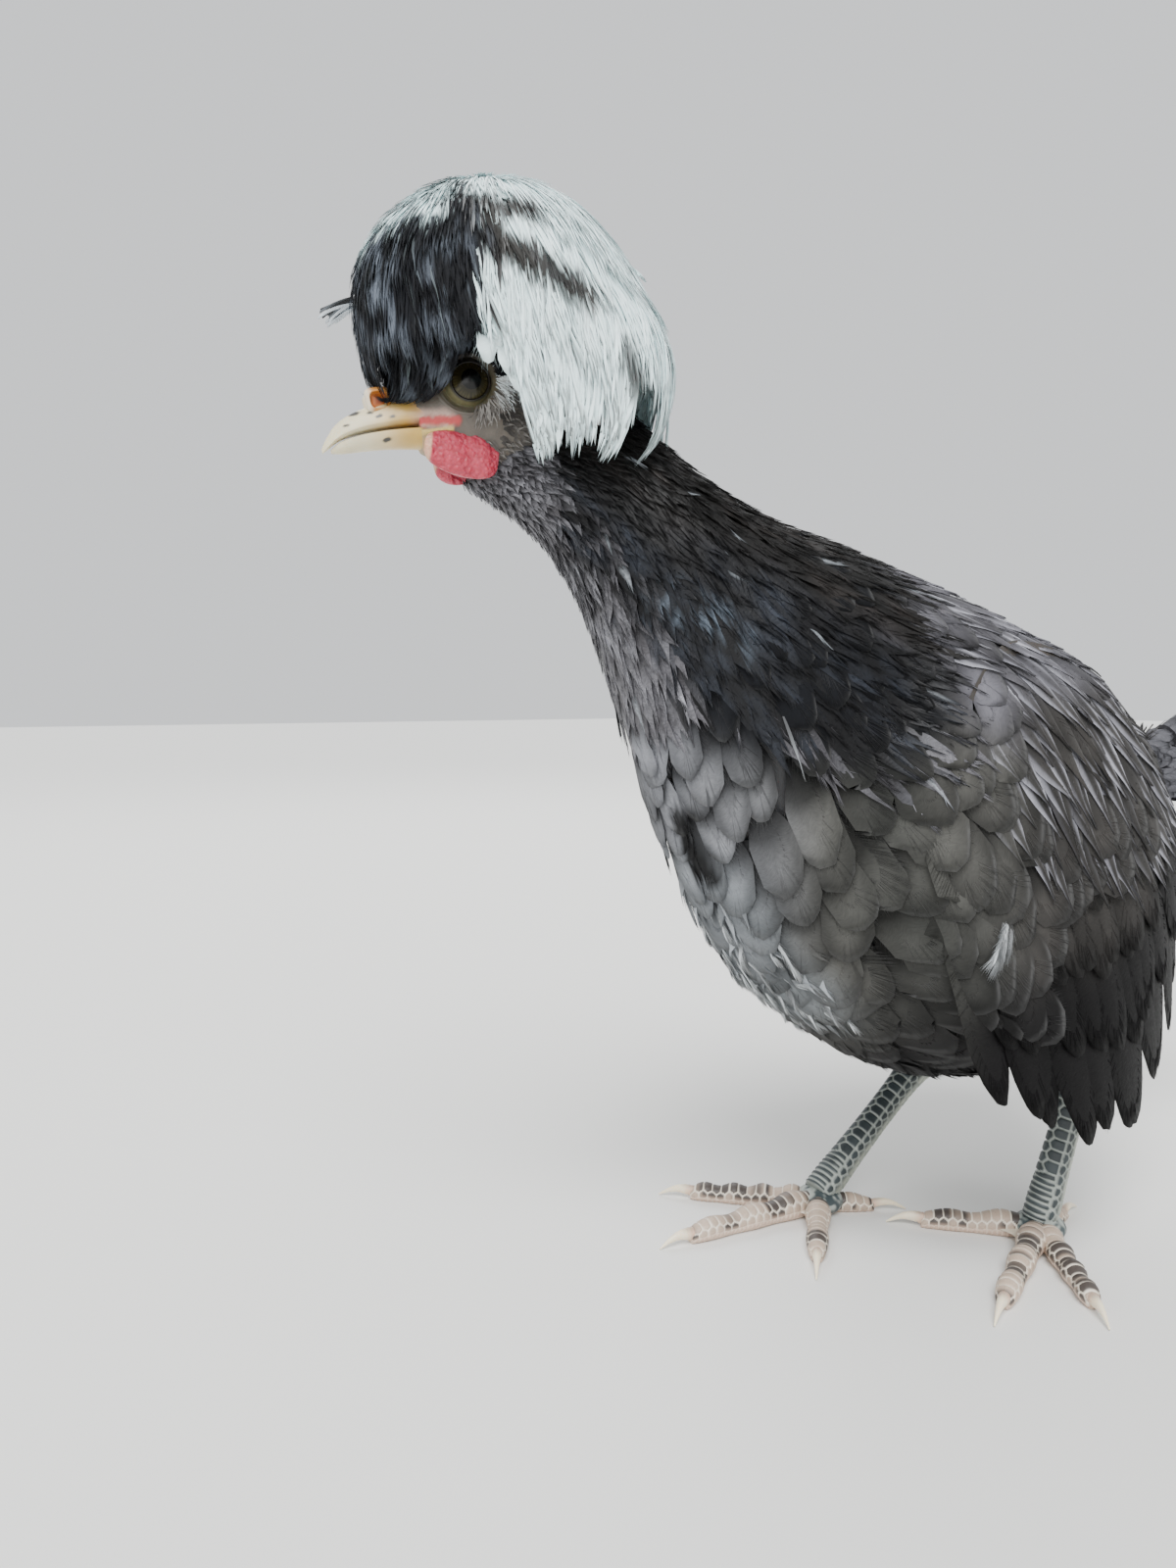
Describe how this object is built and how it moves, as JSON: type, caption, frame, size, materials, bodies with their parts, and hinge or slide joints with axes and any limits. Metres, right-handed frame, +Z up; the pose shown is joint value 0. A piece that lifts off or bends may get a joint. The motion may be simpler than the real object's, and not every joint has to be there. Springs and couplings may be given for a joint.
{
  "type": "polish crested chicken",
  "caption": "Still, life-size young polish crested chicken, standing and leaning forward, with a full white and charcoal crest.",
  "frame": {"origin": "centre of the bounding box at the level the feet rest on", "axes": "-X the way the bird faces, -Y its left side, +Z up"},
  "size_m": [0.3978, 0.1414, 0.3131],
  "materials": {
    "torso_plumage": "matte scalloped feathers, dark brown-grey with paler edges",
    "hackle_plumage": "glossy black-blue lance-shaped feathers with pale shafts",
    "crest_plumage": "soft white feathers, charcoal at the front",
    "wing_plumage": "brown-grey coverts over dark flight feathers",
    "tail_plumage": "dark tail feathers with pale grey fluff at the root",
    "leg_plumage": "soft grey fluff",
    "face_skin": "olive-grey bare skin with fine bristly feathers",
    "wattle_skin": "pebbled red skin",
    "bill_horn": "smooth ivory-yellow horn with dark specks",
    "leg_scale": "slate scutes with pale green-white borders",
    "claw_horn": "smooth ivory horn",
    "eye_surface": "wet dark eye with a brown-grey iris"
  },
  "bodies": {
    "root": {"torso": "torso_plumage", "neck": "hackle_plumage", "head": "face_skin", "bill_upper": "bill_horn", "bill_lower": "bill_horn", "crest": "crest_plumage", "tail": "tail_plumage", "eye_left": "eye_surface", "wattle_left": "wattle_skin", "wing_left": "wing_plumage", "thigh_left": "leg_plumage", "shank_left": "leg_scale", "toe_left_1": "leg_scale", "claw_left_1": "claw_horn", "toe_left_2": "leg_scale", "claw_left_2": "claw_horn", "toe_left_3": "leg_scale", "claw_left_3": "claw_horn", "toe_left_4": "leg_scale", "claw_left_4": "claw_horn", "eye_right": "eye_surface", "wattle_right": "wattle_skin", "wing_right": "wing_plumage", "thigh_right": "leg_plumage", "shank_right": "leg_scale", "toe_right_1": "leg_scale", "claw_right_1": "claw_horn", "toe_right_2": "leg_scale", "claw_right_2": "claw_horn", "toe_right_3": "leg_scale", "claw_right_3": "claw_horn", "toe_right_4": "leg_scale", "claw_right_4": "claw_horn"}
  },
  "joints": []
}
